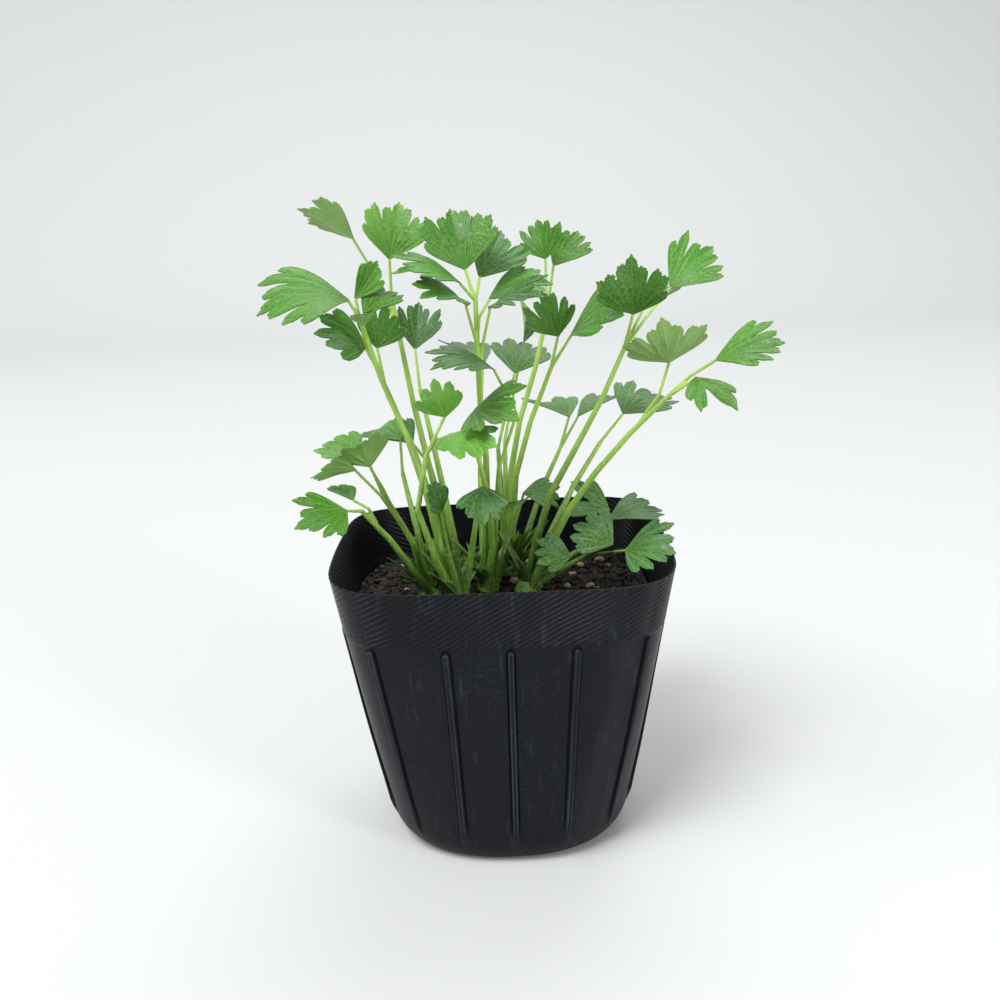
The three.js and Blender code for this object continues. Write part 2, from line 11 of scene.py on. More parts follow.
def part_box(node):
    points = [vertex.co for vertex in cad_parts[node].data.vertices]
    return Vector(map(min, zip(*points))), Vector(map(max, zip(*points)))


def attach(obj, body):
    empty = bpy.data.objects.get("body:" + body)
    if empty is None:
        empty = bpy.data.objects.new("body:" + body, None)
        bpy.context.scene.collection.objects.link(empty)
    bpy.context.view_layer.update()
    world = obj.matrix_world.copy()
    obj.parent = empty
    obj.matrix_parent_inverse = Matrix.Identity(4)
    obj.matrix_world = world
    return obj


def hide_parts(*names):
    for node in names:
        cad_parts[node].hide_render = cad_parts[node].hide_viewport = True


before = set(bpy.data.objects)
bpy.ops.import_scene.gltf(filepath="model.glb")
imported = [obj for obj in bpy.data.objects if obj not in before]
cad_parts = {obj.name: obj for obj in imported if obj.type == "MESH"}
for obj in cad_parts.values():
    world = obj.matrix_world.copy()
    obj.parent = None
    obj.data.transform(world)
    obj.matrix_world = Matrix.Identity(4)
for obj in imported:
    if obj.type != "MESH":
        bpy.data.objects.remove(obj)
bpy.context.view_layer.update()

bl_info = {
    "name": "Potted parsley",
    "version": (1, 0, 0),
    "blender": (4, 5, 0),
    "location": "3D View > Sidebar > Parsley",
    "description": "Makes a parsley seedling in a soft black nursery pot",
    "category": "Object",
}

MM = 0.001
PLATE = 0.4 * MM  # thickness of a blade in the frame
MAP_RADIUS = 38 * MM  # the wall's flat map is rolled round this radius
UPWARD = Vector((0, -0.5, 0.87))  # the way that a blade's upper side looks, roughly
BODY = "root"


def hexcolor(code):
    """A linear colour from an sRGB code such as 4f8f3a."""
    values = [int(code[k : k + 2], 16) / 255 for k in (0, 2, 4)]
    return tuple(v / 12.92 if v <= 0.04045 else ((v + 0.055) / 1.055) ** 2.4 for v in values)


# ------------------------------------------------------------------ settings


def length(name, description, default):
    return bpy.props.FloatProperty(
        name=name, description=description, default=default, min=0, unit="LENGTH", precision=5
    )


def color(name, description, code):
    return bpy.props.FloatVectorProperty(
        name=name, description=description, default=hexcolor(code), subtype="COLOR", min=0, max=1
    )


def count(name, description, default):
    return bpy.props.IntProperty(name=name, description=description, default=default, min=1)


class PotSettings(bpy.types.PropertyGroup):
    """Sizes and colours of the pot."""

    wall: length("Wall", "Thickness of the film wall", 0.45 * MM)
    rim_squareness: bpy.props.FloatProperty(
        name="Rim squareness", description="Exponent of the mouth's outline", default=4.8
    )
    base_squareness: bpy.props.FloatProperty(
        name="Base squareness", description="Exponent of the base's outline", default=2.3
    )
    base_radius: length("Base radius", "Half of the pot's width where the wall meets the base", 31 * MM)
    corner_rise: length("Corner rise", "Height over which the wall turns into the base", 7 * MM)
    corner_drop: length("Corner drop", "How far the wall draws in at the base", 5 * MM)
    band: length("Band", "Height of the grooved band under the rim", 14.5 * MM)
    rib_count: count("Ribs", "Pressed ribs round the wall", 16)
    rib_height: length("Rib height", "How far a rib stands out", 0.85 * MM)
    rib_width: length("Rib width", "Width of a rib", 1.5 * MM)
    rib_gap: length("Rib gap", "Space between a rib's rounded top and the band", 0.8 * MM)
    groove_pitch: length("Groove pitch", "Distance round the pot from groove to groove", 2.1 * MM)
    drain_count: count("Drain holes", "Holes in the base", 8)
    drain_radius: length("Drain radius", "Radius of a drain hole", 2.6 * MM)
    drain_ring: length("Drain ring", "Radius of the ring that the drain holes lie on", 19 * MM)
    color: color("Colour", "Black plastic", "0c0f14")
    # Colour of scuffs and dust, and of the painted highlight along the rib crests.
    scuff_and_highlight: color("Scuffed colour", "Plastic where it is scuffed and dusty", "4a525b")


class SoilSettings(bpy.types.PropertyGroup):
    """Sizes and colours of the compost."""

    crumb_count: count("Crumbs", "Loose crumbs on the compost", 2300)
    grain_count: count("Grains", "Pumice grains on the compost", 42)
    crumb_radius: length("Crumb radius", "Usual radius of a crumb", 0.7 * MM)
    grain_radius: length("Grain radius", "Usual radius of a pumice grain", 0.95 * MM)
    top: length("Top", "Height of the compost's surface", 59.6 * MM)
    bump: length("Bump", "Height of the compost's lumps", 1.9 * MM)
    color: color("Colour", "Moist compost", "21160f")
    dry: color("Dry colour", "Dry crumbs and fibre", "5a442f")
    grain: color("Grain colour", "Pumice", "cdb898")


class StalkSettings(bpy.types.PropertyGroup):
    """Sizes and colours of the stalks."""

    voxel: length("Voxel", "Grid size with which a bunch of stalks is smoothed", 0.22 * MM)
    puff: length("Puff", "How much is given back after smoothing", 0.05 * MM)
    sheaths: count("Leaf bases", "Short leaf bases round each crown", 14)
    top: color("Upper colour", "Stalks near the leaves", "97ba4f")
    # The darker lower colour is painted shade under the leaves.
    foot: color("Lower colour", "Stalks near the compost", "446f28")


class LeafSettings(bpy.types.PropertyGroup):
    """Sizes and colours of the leaf blades."""

    thickness: length("Thickness", "Thickness of a blade", 0.26 * MM)
    steps: count("Steps", "Mesh steps across half a tooth", 8)
    rings: count("Rings", "Mesh steps along a blade", 14)
    quilt: length("Quilting", "How far a blade bulges between its veins", 0.16 * MM)
    green: color("Green", "Upper side of a grown blade", "3a7315")
    young: color("Young green", "Upper side of a young blade", "57902d")
    # A darker copy of the leaf green: painted shade on the blades that are listed for it.
    deep: color("Deep green", "Upper side of an old or shaded blade", "2b5c20")
    under: color("Underside", "Pale underside", "7ea358")
    vein: color("Vein", "Veins on the upper side", "95c452")


class StageSettings(bpy.types.PropertyGroup):
    """Camera, lights and floor."""

    lens: bpy.props.FloatProperty(name="Lens", description="Focal length in mm", default=38)
    eye: bpy.props.FloatVectorProperty(
        name="Eye", description="Place of the camera", default=(0, -0.2585, 0.1584), subtype="TRANSLATION"
    )
    pitch: bpy.props.FloatProperty(
        name="Pitch", description="Downward tilt", default=math.radians(15.7), subtype="ANGLE"
    )
    roll: bpy.props.FloatProperty(
        name="Roll", description="Turn about the view", default=math.radians(2.05), subtype="ANGLE"
    )
    floor: color("Floor", "Paper that the pot stands on", "c0c2c2")


class ParsleySettings(bpy.types.PropertyGroup):
    """All settings."""

    pot: bpy.props.PointerProperty(type=PotSettings)
    soil: bpy.props.PointerProperty(type=SoilSettings)
    stalk: bpy.props.PointerProperty(type=StalkSettings)
    leaf: bpy.props.PointerProperty(type=LeafSettings)
    stage: bpy.props.PointerProperty(type=StageSettings)


# ------------------------------------------------------------------ object helpers


def deselect_all():
    if bpy.context.object and bpy.context.object.mode != "OBJECT":
        bpy.ops.object.mode_set(mode="OBJECT")
    bpy.ops.object.select_all(action="DESELECT")


def activate(piece):
    deselect_all()
    piece.select_set(True)
    bpy.context.view_layer.objects.active = piece


def apply_modifier(piece, kind, **settings):
    activate(piece)
    modifier = piece.modifiers.new(kind.title(), kind)
    for key, value in settings.items():
        setattr(modifier, key, value)
    bpy.ops.object.modifier_apply(modifier=modifier.name)


def named(piece, name):
    piece.name = name
    piece.data.name = name
    return piece


def finish_piece(piece, name, nodes=(), smooth=math.radians(50)):
    """Name a piece, put its origin at the frame's, shade it, hang it on the root body and hide the CAD nodes
    it stands in for.
    """
    activate(piece)
    bpy.ops.object.transform_apply(location=True, rotation=True, scale=True)
    if smooth >= math.pi:
        bpy.ops.object.shade_smooth()
    else:
        bpy.ops.object.shade_smooth_by_angle(angle=smooth)
    named(piece, name)
    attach(piece, BODY)
    if nodes:
        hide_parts(*nodes)
    return piece


def grid_piece(columns, rows, place, wrap=False):
    """A grid primitive whose vertices are put at place(column share, row share)."""
    deselect_all()
    bpy.ops.mesh.primitive_grid_add(x_subdivisions=columns, y_subdivisions=rows, size=2)
    piece = bpy.context.object
    for vertex in piece.data.vertices:
        vertex.co = place((vertex.co.x + 1) / 2, (vertex.co.y + 1) / 2)
    if wrap:
        bpy.ops.object.mode_set(mode="EDIT")
        bpy.ops.mesh.select_all(action="SELECT")
        bpy.ops.mesh.remove_doubles(threshold=1e-6)
        bpy.ops.mesh.normals_make_consistent(inside=False)
        bpy.ops.object.mode_set(mode="OBJECT")
    return piece


def copy_of_node(name):
    """A merged copy of a CAD node, with its own mesh."""
    piece = bpy.data.objects.new("copy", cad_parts[name].data.copy())
    bpy.context.scene.collection.objects.link(piece)
    activate(piece)
    bpy.ops.object.mode_set(mode="EDIT")
    bpy.ops.mesh.select_all(action="SELECT")
    bpy.ops.mesh.remove_doubles(threshold=2e-6)
    bpy.ops.object.mode_set(mode="OBJECT")
    return piece


def set_uv(piece, name, values):
    """Writes a UV map from one pair for each vertex."""
    mesh = piece.data
    for layer in list(mesh.uv_layers):
        mesh.uv_layers.remove(layer)
    layer = mesh.uv_layers.new(name=name)
    for loop in mesh.loops:
        layer.data[loop.index].uv = values[loop.vertex_index]


def set_attribute(piece, name, values):
    layer = piece.data.attributes.new(name, "FLOAT", "POINT")
    layer.data.foreach_set("value", values)


# ------------------------------------------------------------------ node helpers


class Graph:
    """Adds and links nodes in one tree."""

    def __init__(self, tree):
        self.tree = tree

    def node(self, kind, inputs=None, **settings):
        made = self.tree.nodes.new(kind)
        for key, value in settings.items():
            setattr(made, key, value)
        for key, value in (inputs or {}).items():
            self.fill(made.inputs[key], value)
        return made

    def fill(self, socket, value):
        """Links a socket to another, or gives it a constant."""
        if isinstance(value, bpy.types.NodeSocket):
            self.tree.links.new(value, socket)
        else:
            socket.default_value = value

    def math(self, operation, *values, clamp=False):
        inputs = dict(enumerate(values))
        return self.node("ShaderNodeMath", inputs, operation=operation, use_clamp=clamp).outputs[0]

    def smooth(self, value, low, high, to_low=0.0, to_high=1.0):
        inputs = {"Value": value, "From Min": low, "From Max": high, "To Min": to_low, "To Max": to_high}
        made = self.node("ShaderNodeMapRange", inputs, interpolation_type="SMOOTHSTEP")
        return made.outputs["Result"]

    def mix(self, share, first, second, blend="MIX"):
        made = self.node("ShaderNodeMix", data_type="RGBA", blend_type=blend)
        for key, value in ((0, share), (6, first), (7, second)):
            if isinstance(value, bpy.types.NodeSocket):
                self.tree.links.new(value, made.inputs[key])
            elif key == 0:
                made.inputs[key].default_value = value
            else:
                made.inputs[key].default_value = (*value[:3], 1)
        return made.outputs[2]

    def noise(self, vector, scale, detail=3.0, roughness=0.55):
        inputs = {"Vector": vector, "Scale": scale, "Detail": detail, "Roughness": roughness}
        return self.node("ShaderNodeTexNoise", inputs).outputs["Fac"]

    def stretched(self, vector, scale):
        return self.node("ShaderNodeMapping", {"Vector": vector, "Scale": scale}).outputs["Vector"]


def new_group(name, inputs, outputs):
    """A node group with named sockets. Returns its graph, its inputs and its output node."""
    tree = bpy.data.node_groups.new(name, "ShaderNodeTree")
    for label, kind, default in inputs:
        socket = tree.interface.new_socket(name=label, in_out="INPUT", socket_type=kind)
        if default is not None:
            socket.default_value = default
    for label, kind in outputs:
        tree.interface.new_socket(name=label, in_out="OUTPUT", socket_type=kind)
    entry = tree.nodes.new("NodeGroupInput")
    leave = tree.nodes.new("NodeGroupOutput")
    return Graph(tree), entry.outputs, leave.inputs


def new_material(name):
    material = bpy.data.materials.new(name)
    material.use_nodes = True
    graph = Graph(material.node_tree)
    shader = material.node_tree.nodes["Principled BSDF"]
    return material, graph, shader


def object_coordinates(graph):
    return graph.node("ShaderNodeTexCoord").outputs["Object"]


def use_group(graph, name, inputs):
    made = graph.node("ShaderNodeGroup", node_tree=bpy.data.node_groups[name])
    for key, value in inputs.items():
        graph.fill(made.inputs[key], value)
    return made.outputs


def bump(graph, height, strength, distance):
    inputs = {"Height": height, "Strength": strength, "Distance": distance}
    return graph.node("ShaderNodeBump", inputs).outputs["Normal"]


# ------------------------------------------------------------------ shared effects


def make_vein_group():
    """Veins of a fan-shaped blade: one into each tooth, and a fine net between them."""
    graph, inputs, outputs = new_group(
        "leaf_veins",
        [
            ("Column", "NodeSocketFloat", 0.0),
            ("Along", "NodeSocketFloat", 0.5),
            ("Flat", "NodeSocketVector", None),
            ("Net Scale", "NodeSocketFloat", 900.0),
        ],
        [("Vein", "NodeSocketFloat"), ("Net", "NodeSocketFloat"), ("Height", "NodeSocketFloat")],
    )
    half = graph.math("MULTIPLY", graph.math("SUBTRACT", inputs["Column"], 1.0), 0.5)
    wave = graph.math("PINGPONG", half, 0.5)
    reach = graph.math("ADD", inputs["Along"], 0.08)
    distance = graph.math("MULTIPLY", wave, reach)
    vein = graph.smooth(distance, 0.012, 0.06, 1.0, 0.0)
    fade = graph.smooth(inputs["Along"], 0.98, 0.55, 0.25, 1.0)
    vein = graph.math("MULTIPLY", vein, fade)
    cells = graph.node(
        "ShaderNodeTexVoronoi",
        {"Vector": inputs["Flat"], "Scale": inputs["Net Scale"]},
        feature="DISTANCE_TO_EDGE",
    )
    net = graph.smooth(cells.outputs["Distance"], 0.0, 0.16, 1.0, 0.0)
    height = graph.math("ADD", graph.math("MULTIPLY", vein, 0.8), graph.math("MULTIPLY", net, 0.3))
    graph.tree.links.new(vein, outputs["Vein"])
    graph.tree.links.new(net, outputs["Net"])
    graph.tree.links.new(graph.math("SUBTRACT", 1.0, height), outputs["Height"])


def make_mottle_group():
    """Broad and fine patches, for colour that is never even."""
    graph, inputs, outputs = new_group(
        "mottle",
        [
            ("Vector", "NodeSocketVector", None),
            ("Broad Scale", "NodeSocketFloat", 60.0),
            ("Fine Scale", "NodeSocketFloat", 600.0),
        ],
        [("Broad", "NodeSocketFloat"), ("Fine", "NodeSocketFloat")],
    )
    broad = graph.noise(inputs["Vector"], inputs["Broad Scale"], 2.0)
    fine = graph.noise(inputs["Vector"], inputs["Fine Scale"], 4.0)
    graph.tree.links.new(graph.smooth(broad, 0.32, 0.68), outputs["Broad"])
    graph.tree.links.new(graph.smooth(fine, 0.3, 0.7), outputs["Fine"])


def make_fibre_group():
    """Long streaks that run up a stalk."""
    graph, inputs, outputs = new_group(
        "fibres",
        [("Vector", "NodeSocketVector", None), ("Scale", "NodeSocketFloat", 2200.0)],
        [("Streak", "NodeSocketFloat"), ("Height", "NodeSocketFloat")],
    )
    drawn = graph.stretched(inputs["Vector"], (1.0, 1.0, 0.035))
    streak = graph.noise(drawn, inputs["Scale"], 2.0, 0.5)
    graph.tree.links.new(graph.smooth(streak, 0.35, 0.65), outputs["Streak"])
    graph.tree.links.new(streak, outputs["Height"])


def make_groove_group():
    """Fine slanting grooves pressed into the pot's upper band."""
    graph, inputs, outputs = new_group(
        "slant_grooves",
        [
            ("Flat", "NodeSocketVector", None),
            ("Pitch", "NodeSocketFloat", 0.00115),
            ("Band Foot", "NodeSocketFloat", 0.0605),
            ("Slant", "NodeSocketFloat", 1.6),
        ],
        [("Height", "NodeSocketFloat"), ("Band", "NodeSocketFloat")],
    )
    parts = graph.node("ShaderNodeSeparateXYZ", {"Vector": inputs["Flat"]}).outputs
    drift = graph.math("MULTIPLY", graph.noise(inputs["Flat"], 90.0, 1.0), 0.0022)
    lean = graph.math("MULTIPLY", parts["Y"], inputs["Slant"])
    line = graph.math("ADD", graph.math("SUBTRACT", lean, parts["X"]), drift)
    turns = graph.math("DIVIDE", line, inputs["Pitch"])
    wave = graph.math("SINE", graph.math("MULTIPLY", turns, 2 * math.pi))
    band_top = graph.math("ADD", inputs["Band Foot"], 0.0006)
    band = graph.smooth(parts["Y"], inputs["Band Foot"], band_top)
    graph.tree.links.new(graph.math("MULTIPLY", wave, band), outputs["Height"])
    graph.tree.links.new(band, outputs["Band"])


def make_dust_group():
    """Scuffs, water marks and fine dust on plastic."""
    graph, inputs, outputs = new_group(
        "dust",
        [("Vector", "NodeSocketVector", None), ("Amount", "NodeSocketFloat", 0.5)],
        [("Dust", "NodeSocketFloat"), ("Scuff", "NodeSocketFloat")],
    )
    cloud = graph.noise(inputs["Vector"], 38.0, 5.0, 0.62)
    speck = graph.noise(inputs["Vector"], 1500.0, 2.0, 0.7)
    drawn = graph.stretched(inputs["Vector"], (1.0, 1.0, 0.12))
    scratch = graph.noise(drawn, 620.0, 3.0, 0.7)
    patch = graph.smooth(cloud, 0.42, 0.72)
    fine = graph.smooth(speck, 0.5, 0.78)
    dust = graph.math("MULTIPLY", graph.math("MULTIPLY", patch, fine), inputs["Amount"])
    graph.tree.links.new(dust, outputs["Dust"])
    graph.tree.links.new(graph.smooth(scratch, 0.56, 0.72), outputs["Scuff"])


def make_groups():
    make_vein_group()
    make_mottle_group()
    make_fibre_group()
    make_groove_group()
    make_dust_group()


# ------------------------------------------------------------------ materials


def blade_pattern(graph):
    """What both sides of a blade share: the reach along it, its veins and its spots."""
    flat = graph.node("ShaderNodeUVMap", uv_map="leaf").outputs["UV"]
    column = graph.node("ShaderNodeAttribute", attribute_name="leaf_column").outputs["Fac"]
    along = graph.node("ShaderNodeAttribute", attribute_name="leaf_along").outputs["Fac"]
    veins = use_group(graph, "leaf_veins", {"Column": column, "Along": along, "Flat": flat})
    spots = use_group(graph, "mottle", {"Vector": object_coordinates(graph)})
    return along, veins, spots


def leaf_upper(name, green, settings):
    material, graph, shader = new_material(name)
    along, veins, spots = blade_pattern(graph)
    dark = tuple(v * 0.6 for v in green)
    light = tuple(min(1, v * 1.3 + 0.01) for v in green)
    base = graph.mix(spots["Broad"], dark, green)
    base = graph.mix(graph.math("MULTIPLY", spots["Fine"], 0.35), base, light)
    edge = graph.smooth(along, 0.86, 1.0, 0.0, 0.4)
    base = graph.mix(edge, base, light)
    base = graph.mix(graph.math("MULTIPLY", veins["Net"], 0.12), base, settings.vein)
    base = graph.mix(graph.math("MULTIPLY", veins["Vein"], 0.22), base, settings.vein)
    graph.tree.links.new(base, shader.inputs["Base Color"])
    rough = graph.smooth(spots["Fine"], 0.0, 1.0, 0.34, 0.5)
    graph.tree.links.new(rough, shader.inputs["Roughness"])
    normal = bump(graph, veins["Height"], 0.5, 0.0003)
    graph.tree.links.new(normal, shader.inputs["Normal"])
    shader.inputs["Subsurface Weight"].default_value = 0.22
    shader.inputs["Subsurface Radius"].default_value = (0.35, 1.0, 0.12)
    shader.inputs["Subsurface Scale"].default_value = 0.0006
    shader.inputs["Specular IOR Level"].default_value = 0.42
    return material


def leaf_under(name, settings):
    material, graph, shader = new_material(name)
    _, veins, spots = blade_pattern(graph)
    dark = tuple(v * 0.72 for v in settings.under)
    base = graph.mix(spots["Broad"], dark, settings.under)
    base = graph.mix(graph.math("MULTIPLY", veins["Net"], 0.2), base, tuple(v * 0.6 for v in settings.under))
    base = graph.mix(graph.math("MULTIPLY", veins["Vein"], 0.5), base, settings.vein)
    graph.tree.links.new(base, shader.inputs["Base Color"])
    shader.inputs["Roughness"].default_value = 0.6
    raised = graph.math("SUBTRACT", 1.0, veins["Height"])
    graph.tree.links.new(bump(graph, raised, 0.5, 0.0004), shader.inputs["Normal"])
    shader.inputs["Subsurface Weight"].default_value = 0.2
    shader.inputs["Subsurface Radius"].default_value = (0.35, 1.0, 0.12)
    shader.inputs["Subsurface Scale"].default_value = 0.0006
    return material


def stalk_material(settings, name, shade=1.0):
    material, graph, shader = new_material(name)
    place = object_coordinates(graph)
    fibres = use_group(graph, "fibres", {"Vector": place})
    spots = use_group(graph, "mottle", {"Vector": place})
    height = graph.node("ShaderNodeSeparateXYZ", {"Vector": place}).outputs["Z"]
    # Painted shade: the colour darkens from the leaves down to the compost.
    rise = graph.smooth(height, 0.058, 0.112)
    # A shade below one darkens the whole material, painted shade for pieces deep in the crown.
    foot = tuple(v * shade for v in settings.foot)
    base = graph.mix(rise, foot, tuple(v * shade for v in settings.top))
    pale = tuple(min(1, v * 1.4 + 0.02) * shade for v in settings.top)
    base = graph.mix(graph.math("MULTIPLY", fibres["Streak"], 0.35), base, pale)
    base = graph.mix(graph.math("MULTIPLY", spots["Broad"], 0.35), base, foot)
    graph.tree.links.new(base, shader.inputs["Base Color"])
    rough = graph.smooth(spots["Fine"], 0.0, 1.0, 0.34, 0.5)
    graph.tree.links.new(rough, shader.inputs["Roughness"])
    graph.tree.links.new(bump(graph, fibres["Height"], 0.6, 0.0003), shader.inputs["Normal"])
    shader.inputs["Subsurface Weight"].default_value = 0.2
    shader.inputs["Subsurface Radius"].default_value = (0.4, 1.0, 0.15)
    shader.inputs["Subsurface Scale"].default_value = 0.0008
    return material


def pot_material(settings, band_foot):
    material, graph, shader = new_material("pot_plastic")
    flat = graph.node("ShaderNodeUVMap", uv_map="wall").outputs["UV"]
    place = object_coordinates(graph)
    facing = graph.node("ShaderNodeNewGeometry").outputs["Normal"]
    outward = graph.node("ShaderNodeVectorMath", {0: facing, 1: place}, operation="DOT_PRODUCT")
    outside = graph.smooth(outward.outputs["Value"], -0.004, 0.004)
    inputs = {"Flat": flat, "Pitch": settings.groove_pitch, "Band Foot": band_foot}
    grooves = use_group(graph, "slant_grooves", inputs)
    dust = use_group(graph, "dust", {"Vector": place, "Amount": 0.6})
    off = graph.node("ShaderNodeAttribute", attribute_name="off_rib").outputs["Fac"]
    # Painted light on the ribs: a patchy painted highlight along each rib's crest, and a painted shade line
    # just outside each rib, where the specular level is lowered too.
    painted_crest_highlight = graph.smooth(graph.math("ABSOLUTE", graph.math("ADD", off, 0.28)), 0.0, 0.26, 1.0, 0.0)
    painted_rib_shade = graph.smooth(graph.math("ABSOLUTE", graph.math("SUBTRACT", off, 0.22)), 0.05, 0.4, 1.0, 0.0)
    height = graph.node("ShaderNodeSeparateXYZ", {"Vector": place}).outputs["Z"]
    patchy = graph.smooth(graph.noise(graph.stretched(place, (1.0, 1.0, 0.3)), 90.0), 0.35, 0.65, 0.3, 1.0)
    shown = graph.math("MULTIPLY", outside, graph.smooth(height, 0.007, 0.014))
    painted_highlight = graph.math("MULTIPLY", graph.math("MULTIPLY", painted_crest_highlight, shown), patchy)
    painted_highlight = graph.math("MULTIPLY", painted_highlight, 0.42)
    shaded = graph.math("MULTIPLY", graph.math("MULTIPLY", painted_rib_shade, shown), 0.75)
    base = graph.mix(graph.math("MULTIPLY", dust["Dust"], 0.4), settings.color, settings.scuff_and_highlight)
    base = graph.mix(graph.math("MULTIPLY", dust["Scuff"], 0.14), base, settings.scuff_and_highlight)
    # Mixes in the painted crest highlight, then the painted shade beside the ribs.
    base = graph.mix(painted_highlight, base, settings.scuff_and_highlight)
    base = graph.mix(shaded, base, (0.0005, 0.0005, 0.0007))
    graph.tree.links.new(base, shader.inputs["Base Color"])
    rough = graph.smooth(dust["Dust"], 0.0, 0.7, 0.4, 0.54)
    graph.tree.links.new(rough, shader.inputs["Roughness"])
    level = graph.math("MULTIPLY", graph.math("SUBTRACT", 1.0, shaded), 0.15)
    graph.tree.links.new(level, shader.inputs["Specular IOR Level"])
    shader.inputs["Anisotropic"].default_value = 0.85
    shader.inputs["Anisotropic Rotation"].default_value = 0.25
    tangent = graph.node("ShaderNodeTangent", direction_type="UV_MAP", uv_map="wall")
    graph.tree.links.new(tangent.outputs["Tangent"], shader.inputs["Tangent"])
    pitted = graph.noise(place, 160.0, 3.0)
    depth = graph.smooth(outside, 0.0, 1.0, 0.35, 1.0)
    relief = graph.math("MULTIPLY", grooves["Height"], depth)
    relief = graph.math("ADD", relief, graph.math("MULTIPLY", pitted, 0.9))
    graph.tree.links.new(bump(graph, relief, 0.8, 0.0002), shader.inputs["Normal"])
    return material


def soil_material(settings):
    material, graph, shader = new_material("compost")
    place = object_coordinates(graph)
    spots = use_group(graph, "mottle", {"Vector": place, "Broad Scale": 160.0, "Fine Scale": 1300.0})
    dark = tuple(v * 0.3 for v in settings.color)
    base = graph.mix(spots["Broad"], dark, settings.color)
    flecks = graph.smooth(graph.noise(place, 700.0, 3.0), 0.56, 0.68)
    base = graph.mix(graph.math("MULTIPLY", flecks, 0.55), base, settings.dry)
    graph.tree.links.new(base, shader.inputs["Base Color"])
    rough = graph.smooth(spots["Broad"], 0.0, 1.0, 0.72, 0.95)
    graph.tree.links.new(rough, shader.inputs["Roughness"])
    rubble = graph.noise(place, 1100.0, 6.0, 0.7)
    graph.tree.links.new(bump(graph, rubble, 0.9, 0.0006), shader.inputs["Normal"])
    return material


def grain_material(settings):
    material, graph, shader = new_material("pumice")
    place = object_coordinates(graph)
    spots = use_group(graph, "mottle", {"Vector": place, "Broad Scale": 240.0, "Fine Scale": 1800.0})
    dark = tuple(v * 0.45 for v in settings.grain)
    base = graph.mix(spots["Broad"], settings.grain, dark)
    base = graph.mix(graph.math("MULTIPLY", spots["Fine"], 0.3), base, settings.dry)
    graph.tree.links.new(base, shader.inputs["Base Color"])
    shader.inputs["Roughness"].default_value = 0.9
    pores = graph.noise(place, 2400.0, 4.0, 0.7)
    graph.tree.links.new(bump(graph, pores, 0.8, 0.0003), shader.inputs["Normal"])
    return material


def floor_material(settings):
    material, graph, shader = new_material("paper_floor")
    place = object_coordinates(graph)
    tooth = graph.noise(place, 900.0, 3.0)
    dark = tuple(v * 0.97 for v in settings.floor)
    graph.tree.links.new(graph.mix(tooth, settings.floor, dark), shader.inputs["Base Color"])
    graph.tree.links.new(bump(graph, tooth, 0.2, 0.0001), shader.inputs["Normal"])
    shader.inputs["Roughness"].default_value = 0.85
    return material


# ------------------------------------------------------------------ pot


